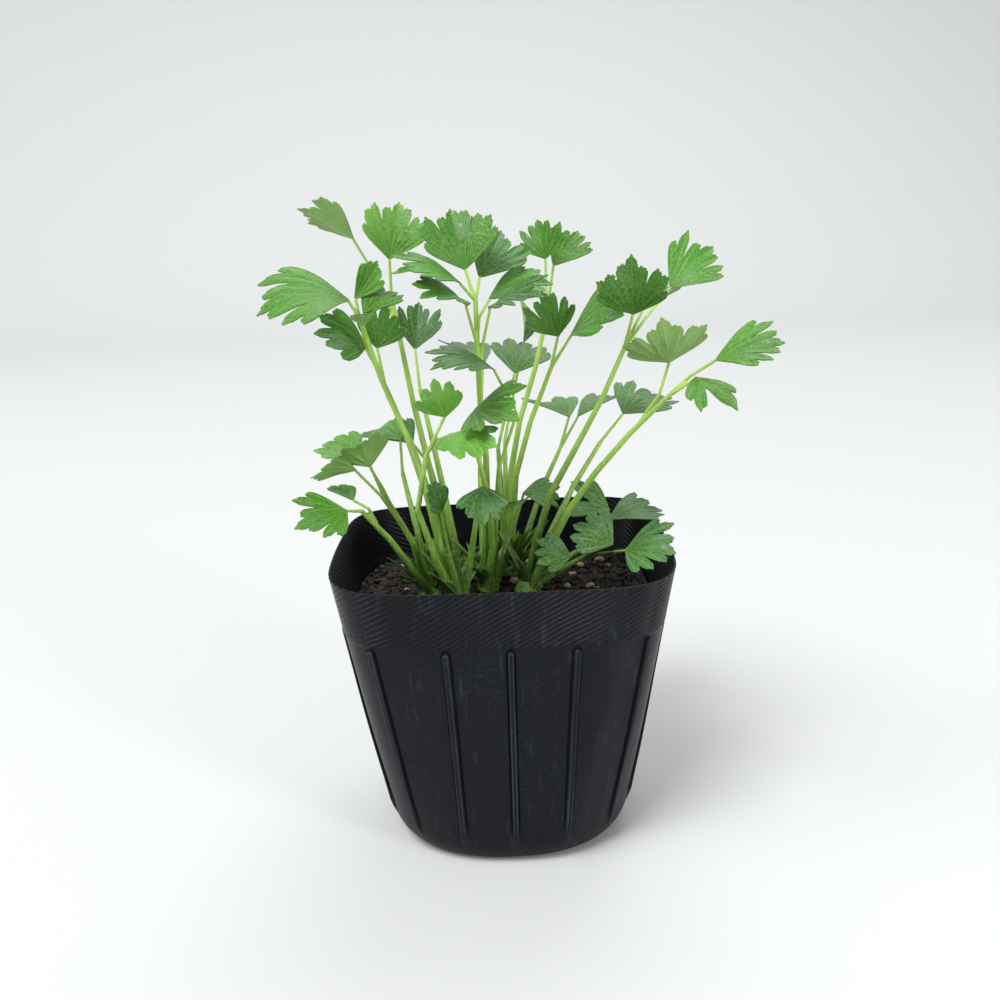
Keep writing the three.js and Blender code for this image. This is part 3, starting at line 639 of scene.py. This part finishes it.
class PotShape:
    """The wall of the pot as a function of direction and height, in metres."""

    def __init__(self, settings):
        low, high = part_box("pot")
        self.settings = settings
        self.middle = (low + high) / 2
        self.half_width = (high.x - low.x) / 2
        self.half_depth = (high.y - low.y) / 2
        self.height = high.z - low.z
        self.band_foot = self.height - settings.band

    def wave(self, angle, z):
        """How far the soft rim is out of true."""
        fade = (z / self.height) ** 8
        rise = math.sin(2 * angle + 0.6) + 0.6 * math.sin(3 * angle - 1.1) - 0.8
        return 0.45 * MM * fade * rise

    def radius(self, angle, z):
        settings = self.settings
        share = max(0, min(1, z / self.height))
        half_width = settings.base_radius + (self.half_width - settings.base_radius) * share
        half_depth = settings.base_radius + (self.half_depth - settings.base_radius) * share
        power = settings.base_squareness + (settings.rim_squareness - settings.base_squareness) * share
        across = abs(math.cos(angle) / half_width) ** power
        along = abs(math.sin(angle) / half_depth) ** power
        return (across + along) ** (-1 / power)

    def inset(self, z):
        rise = self.settings.corner_rise
        if z >= rise:
            return 0
        depth = 1 - z / rise
        return self.settings.corner_drop * (1 - math.sqrt(1 - depth * depth))

    def rib_angles(self):
        step = 2 * math.pi / self.settings.rib_count
        return [k * step + step / 12 for k in range(self.settings.rib_count)]

    def off_rib(self, angle, z):
        """Distance from the outline of the nearest rib, below nought on the rib itself."""
        turns = [abs(math.remainder(middle - angle, 2 * math.pi)) for middle in self.rib_angles()]
        half = self.settings.rib_width / 2
        over = max(0, z + half + self.settings.rib_gap - self.band_foot)
        return math.hypot(min(turns) * self.radius(angle, z), over) - half

    def relief(self, angle, z):
        """Pressed ribs with rounded tops, fading out at the foot, and soft dents."""
        ridge = smoothstep(0.22 * MM, -0.22 * MM, self.off_rib(angle, z))
        foot = smoothstep(5 * MM, 10 * MM, z)
        dents = noise.noise(Vector((math.cos(angle) * 2.2, math.sin(angle) * 2.2, z * 38)))
        step = 0.25 * MM * smoothstep(self.band_foot - 0.5 * MM, self.band_foot + 0.5 * MM, z)
        return self.settings.rib_height * ridge * foot + 0.35 * MM * dents * foot + step - 0.3 * MM

    def rows(self):
        """Heights of the wall's rows, close together at the lip and where the ribs end."""
        foot, top = self.band_foot, self.height
        spans = ((5 * MM, foot - 3 * MM, 32), (foot - 3 * MM, foot + 1 * MM, 18), (foot + 1 * MM, top, 12))
        heights = [v * MM for v in (0.0, 0.6, 1.4, 2.4, 3.6, 5.0)]
        for low, high, many in spans:
            heights += [low + (high - low) * (k + 1) / many for k in range(many)]
        return heights

    def columns(self):
        """Angles round the wall, close together at each rib."""
        angles = []
        step = 2 * math.pi / self.settings.rib_count
        for middle in self.rib_angles():
            half = 1.5 * MM / self.half_depth
            angles += [middle - half + 2 * half * k / 16 for k in range(16)]
            rest = step - 2 * half
            angles += [middle + half + rest * k / 8 for k in range(8)]
        return angles + [angles[0] + 2 * math.pi]

    def point(self, angle, z, inset=0.0):
        out = self.radius(angle, z) - self.inset(z) + self.relief(angle, z) - inset
        return Vector((out * math.cos(angle), out * math.sin(angle), z + self.wave(angle, z)))


def smoothstep(low, high, value):
    share = max(0, min(1, (value - low) / (high - low)))
    return share * share * (3 - 2 * share)


class PARSLEY_OT_pot(bpy.types.Operator):
    """Make the soft black nursery pot"""

    bl_idname = "parsley.pot"
    bl_label = "Pot"

    def execute(self, context):
        settings = context.scene.parsley.pot
        shape = PotShape(settings)
        angles = shape.columns()
        heights = shape.rows()
        floor_shares = [0.0, 0.2, 0.4, 0.6, 0.75, 0.88]
        rows = len(floor_shares) + len(heights)

        def place(column_share, row_share):
            angle = angles[round(column_share * (len(angles) - 1))]
            row = round(row_share * (rows - 1))
            if row < len(floor_shares):
                edge = shape.point(angle, 0.0)
                return Vector((edge.x * floor_shares[row], edge.y * floor_shares[row], 0))
            return shape.point(angle, heights[row - len(floor_shares)])

        piece = grid_piece(len(angles) - 1, rows - 1, place, wrap=True)
        flat = []
        for vertex in piece.data.vertices:
            angle = math.atan2(vertex.co.y, vertex.co.x) % (2 * math.pi)
            flat.append((angle * MAP_RADIUS, vertex.co.z))
        set_uv(piece, "wall", flat)
        self.mend_seam(piece)
        apply_modifier(piece, "SOLIDIFY", thickness=settings.wall, offset=-1, use_even_offset=True)
        self.cut_drains(piece, settings)
        offs = []
        for vertex in piece.data.vertices:
            off = shape.off_rib(math.atan2(vertex.co.y, vertex.co.x), vertex.co.z)
            offs.append(max(-1, min(3, off / MM)))
        set_attribute(piece, "off_rib", offs)
        piece.data.materials.append(pot_material(settings, shape.band_foot))
        finish_piece(piece, "pot_film", ["pot"], math.radians(60))
        return {"FINISHED"}

    def mend_seam(self, piece):
        """Where the flat map passes from a full turn back to none."""
        turn = 2 * math.pi * MAP_RADIUS
        layer = piece.data.uv_layers["wall"].data
        for face in piece.data.polygons:
            spots = [layer[k].uv for k in face.loop_indices]
            if max(s.x for s in spots) - min(s.x for s in spots) > turn / 2:
                for spot in spots:
                    if spot.x < turn / 2:
                        spot.x += turn

    def cut_drains(self, piece, settings):
        """Drain holes in a ring, as in the CAD node."""
        deselect_all()
        cutters = []
        for k in range(settings.drain_count):
            angle = (k + 0.5) / settings.drain_count * 2 * math.pi
            spot = settings.drain_ring * Vector((math.cos(angle), math.sin(angle), 0))
            bpy.ops.mesh.primitive_cylinder_add(
                vertices=32, radius=settings.drain_radius, depth=4 * MM, location=spot
            )
            cutters.append(bpy.context.object)
        deselect_all()
        for cutter in cutters:
            cutter.select_set(True)
        bpy.context.view_layer.objects.active = cutters[0]
        bpy.ops.object.join()
        cutter = bpy.context.object
        apply_modifier(piece, "BOOLEAN", operation="DIFFERENCE", object=cutter, solver="EXACT")
        activate(cutter)
        bpy.ops.object.delete()


# ------------------------------------------------------------------ compost


def soil_height(x, y, bump_height):
    spot = Vector((x, y, 0.0))
    lumps = noise.fractal(spot * 120, 1.0, 2.0, 3)
    crumbs = noise.fractal(spot * 520, 0.8, 2.1, 4)
    return bump_height * (0.55 * lumps + 0.45 * crumbs)


def scattered(shape, top, spread, many, seed):
    """Random places on the compost."""
    rng = random.Random(seed)
    places = []
    while len(places) < many:
        angle = rng.uniform(0, 2 * math.pi)
        share = math.sqrt(rng.random()) * spread
        edge = shape.radius(angle, top) - 1.2 * MM
        places.append((share * edge * math.cos(angle), share * edge * math.sin(angle), rng))
    return places


def stone_cloud(name, spots, bump_height, top, detail, sink):
    """Many rough stones in one mesh, each copied from an ico sphere."""
    deselect_all()
    bpy.ops.mesh.primitive_ico_sphere_add(subdivisions=detail, radius=1)
    seed_stone = bpy.context.object
    whole = bmesh.new()
    for x, y, radius, rng in spots:
        stone = bmesh.new()
        stone.from_mesh(seed_stone.data)
        stretch = Vector((rng.uniform(0.75, 1.3), rng.uniform(0.7, 1.1), rng.uniform(0.55, 0.9)))
        turn = Euler((rng.uniform(-0.5, 0.5), rng.uniform(-0.5, 0.5), rng.uniform(0, 6.28))).to_matrix()
        offset = Vector((rng.uniform(0, 50), rng.uniform(0, 50), rng.uniform(0, 50)))
        z = top + soil_height(x, y, bump_height) + radius * sink
        for vertex in stone.verts:
            swell = 1 + 0.42 * noise.noise(vertex.co * 1.6 + offset)
            local = turn @ Vector(vertex.co[k] * stretch[k] * swell * radius for k in range(3))
            vertex.co = local + Vector((x, y, z))
        loose = bpy.data.meshes.new("stone")
        stone.to_mesh(loose)
        stone.free()
        whole.from_mesh(loose)
        bpy.data.meshes.remove(loose)
    whole.to_mesh(seed_stone.data)
    whole.free()
    return named(seed_stone, name)


class PARSLEY_OT_soil(bpy.types.Operator):
    """Make the compost with its crumbs and pumice grains"""

    bl_idname = "parsley.soil"
    bl_label = "Compost"

    def execute(self, context):
        settings = context.scene.parsley.soil
        shape = PotShape(context.scene.parsley.pot)
        top = settings.top
        shares = [k / 60 for k in range(60)] + [1.0] * 4
        drops = [0.0] * 60 + [0.0, 3 * MM, 12 * MM, 30 * MM]

        def place(column_share, row_share):
            angle = round(column_share * 180) / 180 * 2 * math.pi
            row = round(row_share * (len(shares) - 1))
            z = top - drops[row]
            out = (shape.radius(angle, z) - 1.3 * MM) * shares[row]
            x, y = out * math.cos(angle), out * math.sin(angle)
            lift = soil_height(x, y, settings.bump) if drops[row] == 0 else 0
            return Vector((x, y, z + lift))

        piece = grid_piece(180, len(shares) - 1, place, wrap=True)
        activate(piece)
        bpy.ops.object.mode_set(mode="EDIT")
        bpy.ops.mesh.select_all(action="DESELECT")
        bpy.ops.mesh.select_mode(type="EDGE")
        bpy.ops.mesh.select_non_manifold()
        bpy.ops.mesh.edge_face_add()
        bpy.ops.mesh.select_all(action="SELECT")
        bpy.ops.mesh.normals_make_consistent(inside=False)
        bpy.ops.object.mode_set(mode="OBJECT")
        soil = soil_material(settings)
        piece.data.materials.append(soil)
        finish_piece(piece, "compost", ["soil"], math.pi)

        places = scattered(shape, top, 0.98, settings.crumb_count, 7)
        spots = [(x, y, settings.crumb_radius * rng.uniform(0.45, 1.7), rng) for x, y, rng in places]
        crumbs = stone_cloud("compost_crumbs", spots, settings.bump, top, 1, 0.25)
        crumbs.data.materials.append(soil)
        finish_piece(crumbs, "compost_crumbs", (), math.radians(40))

        places = scattered(shape, top, 0.97, settings.grain_count, 19)
        spots = [(x, y, settings.grain_radius * rng.uniform(0.4, 1.8), rng) for x, y, rng in places]
        grains = stone_cloud("pumice_grains", spots, settings.bump, top, 2, 0.3)
        grains.data.materials.append(grain_material(settings))
        finish_piece(grains, "pumice_grains", (), math.radians(60))
        return {"FINISHED"}


# ------------------------------------------------------------------ stalks


class PARSLEY_OT_stalks(bpy.types.Operator):
    """Make each bunch of stalks"""

    bl_idname = "parsley.stalks"
    bl_label = "Stalks"

    def execute(self, context):
        settings = context.scene.parsley.stalk
        skin = stalk_material(settings, "stalk_skin")
        for name in node_names("stalks_"):
            piece = copy_of_node(name)
            apply_modifier(piece, "REMESH", mode="VOXEL", voxel_size=settings.voxel)
            apply_modifier(piece, "SMOOTH", factor=0.5, iterations=4)
            apply_modifier(piece, "DISPLACE", strength=settings.puff, mid_level=0.0)
            piece.data.materials.clear()
            piece.data.materials.append(skin)
            finish_piece(piece, name.replace("stalks_", "bunch_"), [name], math.pi)
        return {"FINISHED"}


class PARSLEY_OT_sheaths(bpy.types.Operator):
    """Make the short sheathing leaf bases that crowd round each crown"""

    bl_idname = "parsley.sheaths"
    bl_label = "Leaf bases"

    def execute(self, context):
        settings = context.scene.parsley.stalk
        rng = random.Random(5)
        # A darker copy of the stalk skin: painted shade on the leaf bases in the crown.
        skin = stalk_material(settings, "sheath_skin", 0.55)
        leaves = []
        for name in node_names("stalks_"):
            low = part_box(name)[0].z
            foot = [v.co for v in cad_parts[name].data.vertices if v.co.z < low + 0.5 * MM]
            crown = sum(foot, Vector()) / len(foot)
            for k in range(settings.sheaths):
                turn = 2 * math.pi * (k + rng.uniform(-0.3, 0.3)) / settings.sheaths
                leaves.append(self.sheath(crown, turn, rng))
        deselect_all()
        for leaf in leaves:
            leaf.select_set(True)
        bpy.context.view_layer.objects.active = leaves[0]
        bpy.ops.object.join()
        piece = bpy.context.object
        apply_modifier(piece, "SOLIDIFY", thickness=0.35 * MM, offset=-1)
        piece.data.materials.append(skin)
        finish_piece(piece, "leaf_bases", (), math.radians(70))
        return {"FINISHED"}

    def sheath(self, crown, turn, rng):
        """One pointed, channelled leaf base that leans out of its crown."""
        tall = rng.uniform(6, 18) * MM
        wide = rng.uniform(1.6, 3.1) * MM
        lean = rng.uniform(0.15, 0.75)
        outward = Vector((math.cos(turn), math.sin(turn), 0))
        aside = Vector((-outward.y, outward.x, 0))
        twist = rng.uniform(-0.35, 0.35)

        def place(column_share, row_share):
            side = column_share * 2 - 1
            breadth = wide * (1 - 0.55 * row_share) * math.sqrt(max(0.001, 1 - row_share**3))
            cup = 0.55 * breadth * side * side
            out = 1.3 * MM + tall * lean * row_share**1.4 - cup
            climb = tall * math.sqrt(1 - 0.5 * lean * lean) * (row_share - 0.12 * lean * row_share**2)
            across = breadth * side + twist * tall * row_share**2
            base = Vector((crown.x, crown.y, crown.z - 0.6 * MM))
            return base + outward * out + aside * across + Vector((0, 0, climb))

        return grid_piece(8, 12, place)


# ------------------------------------------------------------------ blades


def node_names(prefix):
    return sorted(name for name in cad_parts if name.startswith(prefix))


def plate_sides(plate):
    """The two broad sides of a thin closed plate, as lists of faces."""
    broad = set(plate.faces)
    for edge in plate.edges:
        if abs(edge.calc_length() - PLATE) < 0.0004 * MM:
            broad -= set(edge.link_faces)
    sides = []
    while broad:
        side = [broad.pop()]
        todo = list(side)
        while todo:
            near = {other for edge in todo.pop().edges for other in edge.link_faces} & broad
            broad -= near
            todo += near
            side += near
        sides.append(side)
    return sides


def grid_counts(faces):
    """Points across and along, if the faces make up a grid."""
    points = {v for face in faces for v in face.verts}
    inside = set(faces)
    rim = sum(1 for face in faces for edge in face.edges if not set(edge.link_faces) <= inside)
    half = rim / 2 + 2
    across = round((half + math.sqrt(max(0, half * half - 4 * len(points)))) / 2)
    along = half - across
    return (across, int(along)) if across * along == len(points) and along > 2 else None


def upper_sheet(mesh):
    """The upper side of a thin plate, as a bmesh, with its points across and along."""
    sheet = bmesh.new()
    sheet.from_mesh(mesh)
    sides = plate_sides(sheet)
    counts = grid_counts(sides[0])
    if len(sides) != 2 or counts is None:
        raise RuntimeError(f"{mesh.name}: the plate's sides make no grid")
    upper = set(max(sides, key=lambda side: sum(f.normal.dot(UPWARD) * f.calc_area() for f in side)))
    bmesh.ops.delete(sheet, geom=[f for f in sheet.faces if f not in upper], context="FACES")
    return sheet, counts


def border_loop(sheet):
    """The vertices round the edge of a sheet, in order."""
    first = next(v for v in sheet.verts if v.is_boundary)
    loop = [first]
    while True:
        onward = [e.other_vert(loop[-1]) for e in loop[-1].link_edges if e.is_boundary]
        onward = [v for v in onward if v not in loop]
        if not onward:
            return loop
        loop.append(onward[0])


def blade_grid(mesh):
    """The plate's upper side as columns of points, from the stalk outwards."""
    sheet, (count_across, count_along) = upper_sheet(mesh)
    loop = border_loop(sheet)
    double = loop + loop

    def span(start):
        run = double[start : start + count_across]
        return sum((b.co - a.co).length for a, b in zip(run, run[1:]))

    start = min(range(len(loop)), key=span)
    rows = [double[start : start + count_across]]
    used = set(rows[0])
    while len(rows) < count_along:
        fresh = {e.other_vert(v) for v in rows[-1] for e in v.link_edges} - used
        first = [v for v in fresh if v.is_boundary and any(
            e.is_boundary and e.other_vert(v) is rows[-1][0] for e in v.link_edges)]
        row = [first[0]]
        while len(row) < len(fresh):
            row.append(next(v for e in row[-1].link_edges for v in [e.other_vert(row[-1])]
                            if v in fresh and v not in row))
        rows.append(row)
        used.update(row)
    grid = [[row[c].co.copy() for row in rows] for c in range(count_across)]
    upward = sum((face.normal * face.calc_area() for face in sheet.faces), Vector())
    sheet.free()
    across = grid[-1][0] - grid[0][0]
    along = grid[len(grid) // 2][1] - grid[len(grid) // 2][0]
    if across.cross(along).dot(upward) < 0:
        grid.reverse()
    return grid


def catmull(p0, p1, p2, p3, t):
    """A Catmull-Rom curve between p1 and p2."""
    return 0.5 * (
        p1 * 2
        + (p2 - p0) * t
        + (p0 * 2 - p1 * 5 + p2 * 4 - p3) * (t * t)
        + (p1 * 3 - p0 - p2 * 3 + p3) * (t * t * t)
    )


def spline(points, share):
    """A smooth curve through the points, share from 0 to 1."""
    last = len(points) - 1
    spot = max(0, min(last, share * last))
    k = min(last - 1, int(spot))
    p1, p2 = points[k], points[k + 1]
    p0 = points[k - 1] if k > 0 else p1 * 2 - p2
    p3 = points[k + 2] if k + 2 <= last else p2 * 2 - p1
    return catmull(p0, p1, p2, p3, spot - k)


class BladeShape:
    """A smooth blade with blunt teeth, from the coarse grid of its CAD node.

    Odd columns of the grid end in a tooth's tip and even ones in a notch.
    """

    start = 1.1 * MM

    def __init__(self, grid):
        self.grid = grid
        self.last = len(grid) - 1
        self.reach = [self.walk(points) for points in grid]
        self.size = max(self.reach)
        foot = sum((points[0] for points in grid), Vector()) / len(grid)
        onward = (sum((points[1] for points in grid), Vector()) / len(grid) - foot).normalized()
        self.apex = foot - onward * 0.8 * self.start
        self.angles = [0.0]
        for a, b in zip(grid, grid[1:]):
            self.angles.append(self.angles[-1] + (b[0] - a[0]).length / self.start)
        middle = self.angles[self.last // 2]
        self.angles = [angle - middle for angle in self.angles]

    def walk(self, points):
        return self.start + sum((b - a).length for a, b in zip(points, points[1:]))

    def envelope(self, column):
        """How far the teeth would reach if there were no notches."""
        column = max(1, min(self.last - 1, column))
        first = min(self.last - 3, int((column - 1) // 2) * 2 + 1)
        share = (column - first) / 2
        return self.reach[first] * (1 - share) + self.reach[first + 2] * share

    def edge(self, column):
        """How far the blade reaches at a column."""
        tip = min(self.last - 1, int(column // 2) * 2 + 1)
        away = abs(column - tip)
        notch = tip + 1 if column > tip else tip - 1
        depth = 1 - self.reach[notch] / self.envelope(notch)
        scallop = 1 - abs(math.cos(1.5 * math.pi * away)) ** 0.8
        return self.envelope(column) * (1 - depth * away**2.6 - 0.05 * scallop * (1 - away**4))

    def along(self, column, reach):
        """A point of one column's own line, no farther out than its end."""
        share = (reach - self.start) / (self.reach[column] - self.start)
        if share < 0:
            return self.grid[column][0].lerp(self.apex, 1 - reach / self.start)
        return spline(self.grid[column], share)

    def line(self, column, reach):
        """A point of a column's line. Past a notch it follows the teeth beside it."""
        end = self.reach[column]
        if reach <= end:
            return self.along(column, reach)
        sides = [k for k in (column - 1, column + 1) if 0 <= k <= self.last]
        if column % 2 == 1:
            outer = self.along(column, end)
            return outer + (outer - self.along(column, end * 0.9)) * ((reach - end) / (end * 0.1))
        there = sum((self.line(k, reach) for k in sides), Vector()) / len(sides)
        here = sum((self.line(k, end) for k in sides), Vector()) / len(sides)
        return there + (self.along(column, end) - here) * (reach / end)

    def at(self, column, reach):
        """A point of the surface."""
        k = min(self.last - 1, int(column))
        t = column - k
        p1, p2 = self.line(k, reach), self.line(k + 1, reach)
        p0 = self.line(k - 1, reach) if k > 0 else p1 * 2 - p2
        p3 = self.line(k + 2, reach) if k + 2 <= self.last else p2 * 2 - p1
        return catmull(p0, p1, p2, p3, t)

    def angle(self, column):
        k = min(self.last - 1, int(column))
        return self.angles[k] + (self.angles[k + 1] - self.angles[k]) * (column - k)


class PARSLEY_OT_blades(bpy.types.Operator):
    """Make the leaf blades"""

    bl_idname = "parsley.blades"
    bl_label = "Leaf blades"

    young = ("L2", "R1", "U1", "U2", "A2")
    # Blades whose upper side gets the darker green as painted shade.
    deep = "D E2 E6 G I J K M3 P2 Q T W X Z AA BB1 BB2 BB3 BB4 BB5".split()

    def execute(self, context):
        settings = context.scene.parsley.leaf
        skins = {
            "green": leaf_upper("leaf_upper", settings.green, settings),
            "young": leaf_upper("leaf_upper_young", settings.young, settings),
            "deep": leaf_upper("leaf_upper_deep", settings.deep, settings),
        }
        under = leaf_under("leaf_underside", settings)
        for node in node_names("blade_"):
            label = node.replace("blade_", "")
            kind = "young" if label in self.young else "deep" if label in self.deep else "green"
            source = copy_of_node(node)
            grid = blade_grid(source.data)
            activate(source)
            bpy.ops.object.delete()
            piece = self.blade(BladeShape(grid), settings)
            piece.data.materials.append(skins[kind])
            piece.data.materials.append(under)
            apply_modifier(
                piece,
                "SOLIDIFY",
                thickness=settings.thickness,
                offset=-1,
                material_offset=1,
                material_offset_rim=0,
            )
            finish_piece(piece, "leaf_" + label, [node], math.radians(70))
        return {"FINISHED"}

    def blade(self, shape, settings):
        across = shape.last * settings.steps
        flat, along, columns = [], [], []

        def place(column_share, row_share):
            column = column_share * shape.last
            reach = shape.edge(column) * (0.02 + 0.98 * row_share)
            spot = shape.at(column, reach)
            angle = shape.angle(column)
            flat.append((reach * math.sin(angle), reach * math.cos(angle)))
            along.append(reach / shape.size)
            columns.append(column)
            return spot

        piece = grid_piece(across, settings.rings, place)
        set_uv(piece, "leaf", flat)
        set_attribute(piece, "leaf_along", along)
        set_attribute(piece, "leaf_column", columns)
        self.quilt(piece, columns, along, settings)
        return piece

    def quilt(self, piece, columns, along, settings):
        """Bulges between the veins, along the surface's own normals."""
        mesh = piece.data
        normals = [v.normal.copy() for v in mesh.vertices]
        for vertex, column, share, normal in zip(mesh.vertices, columns, along, normals):
            wave = math.cos((column - 1) * math.pi)
            ripple = noise.noise(vertex.co * 420)
            push = (0.5 - 0.5 * wave) * share * (1 - 0.6 * share) + 0.8 * ripple * share
            vertex.co += normal * settings.quilt * push


# ------------------------------------------------------------------ stage


class PARSLEY_OT_stage(bpy.types.Operator):
    """Make the floor, the lights and the camera"""

    bl_idname = "parsley.stage"
    bl_label = "Stage"

    def execute(self, context):
        settings = context.scene.parsley.stage
        self.camera(context, settings)
        self.floor(settings)
        self.lights()
        self.world()
        return {"FINISHED"}

    def camera(self, context, settings):
        data = bpy.data.cameras.new("camera")
        data.lens = settings.lens
        data.sensor_width = 36
        data.clip_start = 0.01
        camera = bpy.data.objects.new("camera", data)
        context.scene.collection.objects.link(camera)
        camera.location = settings.eye
        look = Matrix.Rotation(math.pi / 2 - settings.pitch, 3, "X")
        turn = Matrix.Rotation(-settings.roll, 3, "Z")
        camera.rotation_euler = (look @ turn).to_euler()
        context.scene.camera = camera
        context.scene.view_settings.view_transform = "Standard"

    def floor(self, settings):
        """A sheet that lies flat in front and sweeps up behind."""
        depth, rise, sweep = 1.1, 1.6, 0.5

        def place(column_share, row_share):
            x = (column_share - 0.5) * 4
            travel = row_share * (1.4 + depth + sweep * math.pi / 2 + rise)
            flat = 1.4 + depth
            if travel < flat:
                return Vector((x, travel - 1.4, 0))
            if travel < flat + sweep * math.pi / 2:
                turn = (travel - flat) / sweep
                return Vector((x, depth + sweep * math.sin(turn), sweep * (1 - math.cos(turn))))
            return Vector((x, depth + sweep, sweep + travel - flat - sweep * math.pi / 2))

        sheet = grid_piece(2, 90, place)
        activate(sheet)
        bpy.ops.object.shade_smooth()
        named(sheet, "paper_floor")
        sheet.data.materials.append(floor_material(settings))

    def lights(self):
        """Soft boxes: a large one above the front, one at each side and one behind."""
        boxes = (
            ("key", (-0.8, -1.1, 2.2), 1.1, 1.1, 66),
            ("streak", (0.62, -0.6, 0.3), 0.16, 0.5, 4.2),
            ("side", (-2.0, -0.3, 0.8), 0.8, 1.2, 14),
            ("back", (0.3, 1.0, 1.6), 1.2, 1.2, 14),
        )
        aim = Vector((0, 0, 0.09))
        for name, place, wide, tall, power in boxes:
            data = bpy.data.lights.new(name, "AREA")
            data.shape = "RECTANGLE"
            data.size = wide
            data.size_y = tall
            data.energy = power
            light = bpy.data.objects.new(name, data)
            light.location = place
            light.rotation_euler = (aim - Vector(place)).to_track_quat("-Z", "Y").to_euler()
            bpy.context.scene.collection.objects.link(light)

    def world(self):
        world = bpy.data.worlds.new("studio")
        world.use_nodes = True
        background = world.node_tree.nodes["Background"]
        background.inputs["Color"].default_value = (1.0, 1.0, 1.0, 1)
        background.inputs["Strength"].default_value = 0.52
        bpy.context.scene.world = world


# ------------------------------------------------------------------ panel


PIECES = (
    PARSLEY_OT_stage,
    PARSLEY_OT_pot,
    PARSLEY_OT_soil,
    PARSLEY_OT_stalks,
    PARSLEY_OT_sheaths,
    PARSLEY_OT_blades,
)
SETTINGS = (PotSettings, SoilSettings, StalkSettings, LeafSettings, StageSettings, ParsleySettings)


class PARSLEY_PT_panel(bpy.types.Panel):
    """Buttons that make the pieces"""

    bl_label = "Potted parsley"
    bl_idname = "PARSLEY_PT_panel"
    bl_space_type = "VIEW_3D"
    bl_region_type = "UI"
    bl_category = "Parsley"

    def draw(self, context):
        for piece in PIECES:
            self.layout.operator(piece.bl_idname)


def register():
    for kind in (*SETTINGS, *PIECES, PARSLEY_PT_panel):
        bpy.utils.register_class(kind)
    bpy.types.Scene.parsley = bpy.props.PointerProperty(type=ParsleySettings)


def unregister():
    del bpy.types.Scene.parsley
    for kind in reversed((*SETTINGS, *PIECES, PARSLEY_PT_panel)):
        bpy.utils.unregister_class(kind)


def main():
    register()
    make_groups()
    bpy.ops.parsley.stage()
    bpy.ops.parsley.pot()
    bpy.ops.parsley.soil()
    bpy.ops.parsley.stalks()
    bpy.ops.parsley.sheaths()
    bpy.ops.parsley.blades()


if __name__ == "__main__":
    main()
